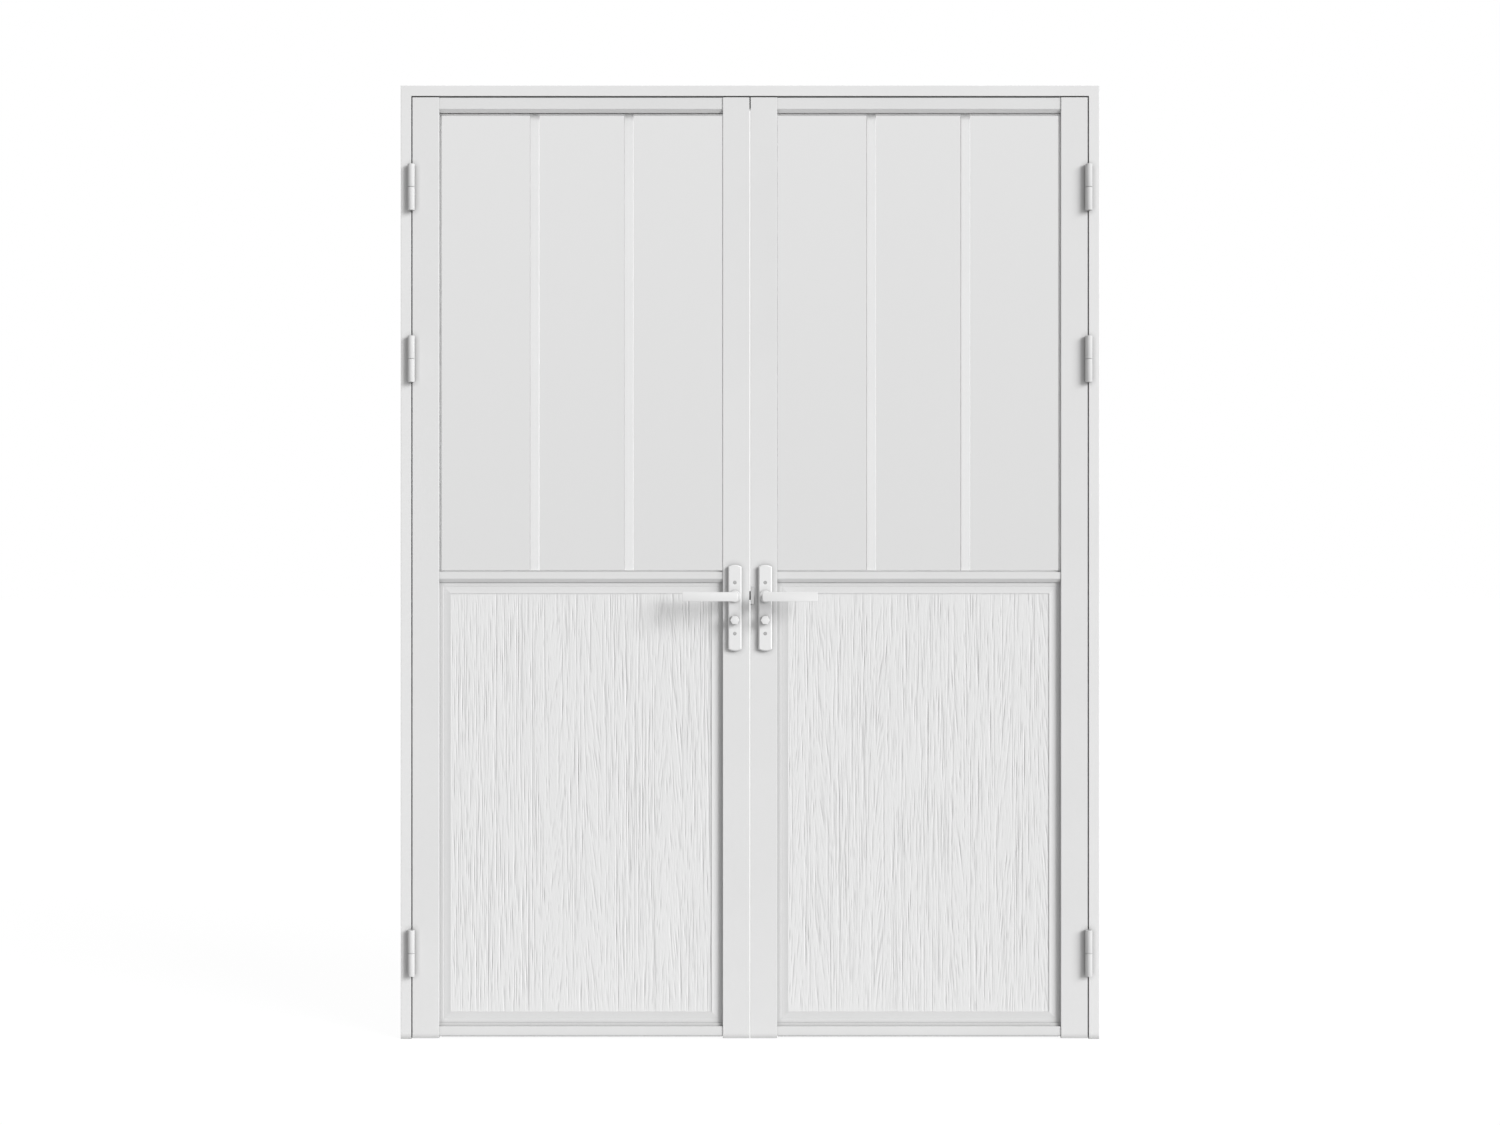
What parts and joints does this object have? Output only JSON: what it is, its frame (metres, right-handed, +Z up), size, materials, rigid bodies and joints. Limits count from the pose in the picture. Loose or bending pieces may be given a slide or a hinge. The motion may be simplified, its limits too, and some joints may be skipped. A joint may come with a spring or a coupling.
{
  "type": "french doors",
  "caption": "Pair of glazed french doors in a slim frame, with grained lower panels, barrel hinges, lever handles, a latch and shoot bolts.",
  "frame": {"origin": "on the floor, midway between the jambs, in the middle of the leaves' thickness", "axes": "+X to the right seen from the front, +Y away from the viewer through the doors, +Z up"},
  "size_m": [1.6, 0.166, 2.184],
  "materials": {
    "frame": "white powder coat, satin",
    "stiles": "white powder coat, satin",
    "rails": "white powder coat, satin",
    "beads": "white powder coat, satin",
    "cleats": "cast, bare",
    "seals": "matt",
    "brush": "brush pile in a grey carrier",
    "front_glass": "clear float",
    "rear_glass": "pale grey tint",
    "spacer": "satin",
    "bars": "white coat",
    "core": "foam board",
    "grain": "white paint over an open upright grain",
    "moulding": "white paint, satin",
    "hinges": "white coat",
    "pins": "turned",
    "screws": "plated",
    "plates": "white coat",
    "levers": "white coat",
    "cases": "plated",
    "bolts": "plated"
  },
  "bodies": {
    "frame": {"left_jamb": "frame", "right_jamb": "frame", "head": "frame", "corner_cleats": "cleats", "frame_seals": "seals", "top_bolt_keep": "plates", "left_frame_hinges": "hinges", "right_frame_hinges": "hinges", "hinge_pins": "pins"},
    "left_leaf": {"left_hinge_stile": "stiles", "left_meeting_stile": "stiles", "left_top_rail": "rails", "left_mid_rail": "rails", "left_bottom_rail": "rails", "left_brush_seal": "brush", "left_front_pane": "front_glass", "left_rear_pane": "rear_glass", "left_spacer": "spacer", "left_glazing_bars": "bars", "left_glazing_beads": "beads", "left_panel_core": "core", "left_grain_boards": "grain", "left_panel_moulding": "moulding", "left_leaf_hinges": "hinges", "left_front_backplate": "plates", "left_rear_backplate": "plates", "left_backplate_bolts": "screws", "lock_case": "cases"},
    "left_levers": {"left_front_lever": "levers", "left_rear_lever": "levers"},
    "left_turn": {"left_thumb_turn": "levers"},
    "right_leaf": {"right_hinge_stile": "stiles", "right_meeting_stile": "stiles", "right_top_rail": "rails", "right_mid_rail": "rails", "right_bottom_rail": "rails", "right_brush_seal": "brush", "right_front_pane": "front_glass", "right_rear_pane": "rear_glass", "right_spacer": "spacer", "right_glazing_bars": "bars", "right_glazing_beads": "beads", "right_panel_core": "core", "right_grain_boards": "grain", "right_panel_moulding": "moulding", "right_leaf_hinges": "hinges", "right_front_backplate": "plates", "right_rear_backplate": "plates", "right_backplate_bolts": "screws", "strike_plates": "bolts", "gear_case": "cases"},
    "right_levers": {"right_front_lever": "levers", "right_rear_lever": "levers"},
    "right_turn": {"right_thumb_turn": "levers"},
    "latch": {"latch_bolt": "bolts"},
    "deadlock": {"dead_bolt": "bolts"},
    "top_bolt": {"top_shoot_bolt": "bolts"},
    "bottom_bolt": {"bottom_shoot_bolt": "bolts"}
  },
  "joints": [
    {"name": "left_leaf_swing", "type": "hinge", "parent": "frame", "child": "left_leaf", "pos_m": [-0.77475, -0.0315, 1], "axis": [0, 0, -1], "range_deg": [0, 110]},
    {"name": "right_leaf_swing", "type": "hinge", "parent": "frame", "child": "right_leaf", "pos_m": [0.77475, -0.0315, 1], "axis": [0, 0, 1], "range_deg": [0, 110]},
    {"name": "left_lever_turn", "type": "hinge", "parent": "left_leaf", "child": "left_levers", "pos_m": [-0.03475, 0, 1.014], "axis": [0, -1, 0], "range_deg": [0, 45], "stiffness_Nm_per_rad": 1.4, "springref_deg": -25.78},
    {"name": "right_lever_turn", "type": "hinge", "parent": "right_leaf", "child": "right_levers", "pos_m": [0.03475, 0, 1.014], "axis": [0, 1, 0], "range_deg": [0, 45], "stiffness_Nm_per_rad": 1.4, "springref_deg": -25.78},
    {"name": "left_thumb_turn", "type": "hinge", "parent": "left_leaf", "child": "left_turn", "pos_m": [-0.03475, 0, 0.96], "axis": [0, -1, 0], "range_deg": [0, 90]},
    {"name": "right_thumb_turn", "type": "hinge", "parent": "right_leaf", "child": "right_turn", "pos_m": [0.03475, 0, 0.96], "axis": [0, 1, 0], "range_deg": [0, 90]},
    {"name": "latch_slide", "type": "slide", "parent": "left_leaf", "child": "latch", "axis": [-1, 0, 0], "range_m": [0, 0.0119]},
    {"name": "dead_bolt_slide", "type": "slide", "parent": "left_leaf", "child": "deadlock", "axis": [1, 0, 0], "range_m": [0, 0.0138]},
    {"name": "top_bolt_slide", "type": "slide", "parent": "right_leaf", "child": "top_bolt", "axis": [0, 0, -1], "range_m": [0, 0.0149]},
    {"name": "bottom_bolt_slide", "type": "slide", "parent": "right_leaf", "child": "bottom_bolt", "axis": [0, 0, 1], "range_m": [0, 0.0149]}
  ],
  "couplings": [
    {"joint": "latch_slide", "follows": "left_lever_turn", "m_per_rad": 0.015136},
    {"joint": "left_thumb_turn", "follows": "dead_bolt_slide", "rad_per_m": 113.71},
    {"joint": "top_bolt_slide", "follows": "right_lever_turn", "m_per_rad": 0.018952},
    {"joint": "bottom_bolt_slide", "follows": "right_lever_turn", "m_per_rad": 0.018952}
  ]
}
